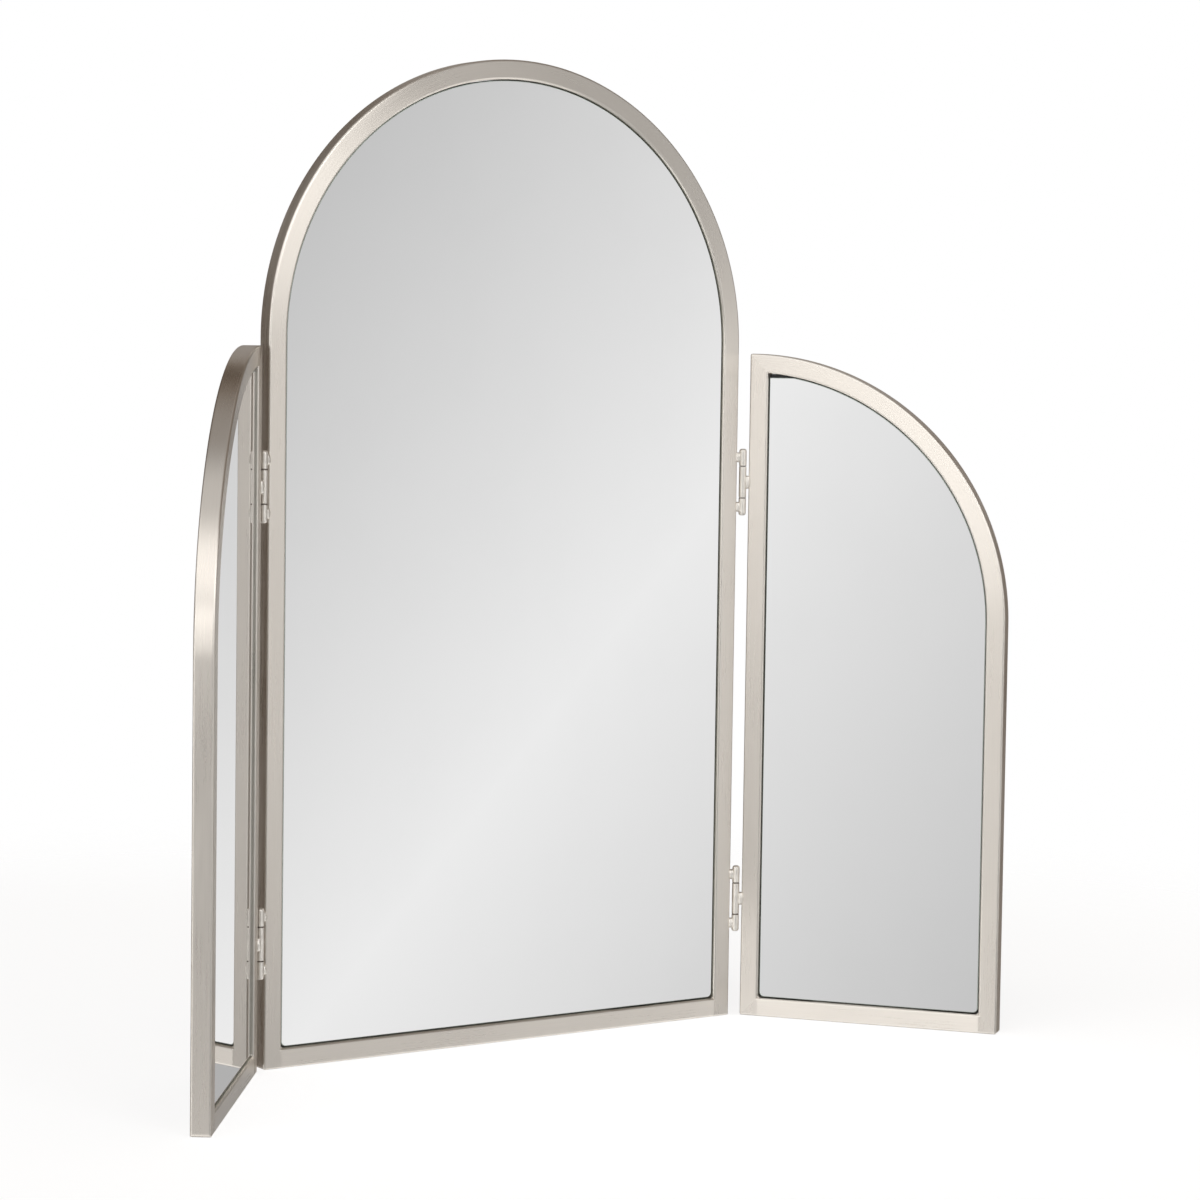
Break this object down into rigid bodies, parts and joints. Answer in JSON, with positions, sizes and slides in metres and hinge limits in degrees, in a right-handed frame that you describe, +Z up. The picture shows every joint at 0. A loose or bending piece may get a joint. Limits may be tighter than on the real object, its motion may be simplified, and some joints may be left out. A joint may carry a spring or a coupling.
{
  "type": "triptych mirror",
  "caption": "Free-standing folding dresser mirror: arched centre panel with a quarter-arch wing hinged to each side, in slim square metal tube frames.",
  "frame": {"origin": "under the middle of the centre panel's bottom rail, halfway through the tube's depth", "axes": "+Z up; -Y out of the centre panel's mirror, towards the viewer; +X to the viewer's right"},
  "size_m": [0.7272, 0.1885, 0.762],
  "materials": {
    "frame_tube": "brushed warm nickel plate",
    "hinge_steel": "satin warm nickel plate",
    "mirror_glass": "silvered float glass",
    "foam_tape": "white foam mounting tape",
    "black_board": "black painted fibreboard",
    "zinc_hardware": "zinc plate"
  },
  "bodies": {
    "centre_panel": {"centre_arch_tube": "frame_tube", "centre_bottom_rail": "frame_tube", "centre_mirror_glass": "mirror_glass", "centre_tape_strips": "foam_tape", "centre_backing_board": "black_board", "centre_board_tabs": "frame_tube", "centre_tab_screws": "zinc_hardware", "left_upper_hinge_bottom_knuckle": "hinge_steel", "left_upper_hinge_top_knuckle": "hinge_steel", "left_upper_hinge_pin": "hinge_steel", "left_lower_hinge_bottom_knuckle": "hinge_steel", "left_lower_hinge_top_knuckle": "hinge_steel", "left_lower_hinge_pin": "hinge_steel", "right_upper_hinge_bottom_knuckle": "hinge_steel", "right_upper_hinge_top_knuckle": "hinge_steel", "right_upper_hinge_pin": "hinge_steel", "right_lower_hinge_bottom_knuckle": "hinge_steel", "right_lower_hinge_top_knuckle": "hinge_steel", "right_lower_hinge_pin": "hinge_steel"},
    "left_wing": {"left_wing_arch_tube": "frame_tube", "left_wing_hinge_stile": "frame_tube", "left_wing_bottom_rail": "frame_tube", "left_wing_mirror_glass": "mirror_glass", "left_wing_tape_strips": "foam_tape", "left_wing_backing_board": "black_board", "left_wing_board_tabs": "frame_tube", "left_wing_tab_screws": "zinc_hardware", "left_upper_hinge_middle_knuckle": "hinge_steel", "left_lower_hinge_middle_knuckle": "hinge_steel"},
    "right_wing": {"right_wing_arch_tube": "frame_tube", "right_wing_hinge_stile": "frame_tube", "right_wing_bottom_rail": "frame_tube", "right_wing_mirror_glass": "mirror_glass", "right_wing_tape_strips": "foam_tape", "right_wing_backing_board": "black_board", "right_wing_board_tabs": "frame_tube", "right_wing_tab_screws": "zinc_hardware", "right_upper_hinge_middle_knuckle": "hinge_steel", "right_lower_hinge_middle_knuckle": "hinge_steel"}
  },
  "joints": [
    {"name": "left_wing_fold", "type": "hinge", "parent": "centre_panel", "child": "left_wing", "pos_m": [-0.2205, -0.0085, 0.266], "axis": [0, 0, 1], "range_deg": [-81, 127]},
    {"name": "right_wing_fold", "type": "hinge", "parent": "centre_panel", "child": "right_wing", "pos_m": [0.2205, -0.0085, 0.266], "axis": [0, 0, -1], "range_deg": [-81, 127]}
  ]
}
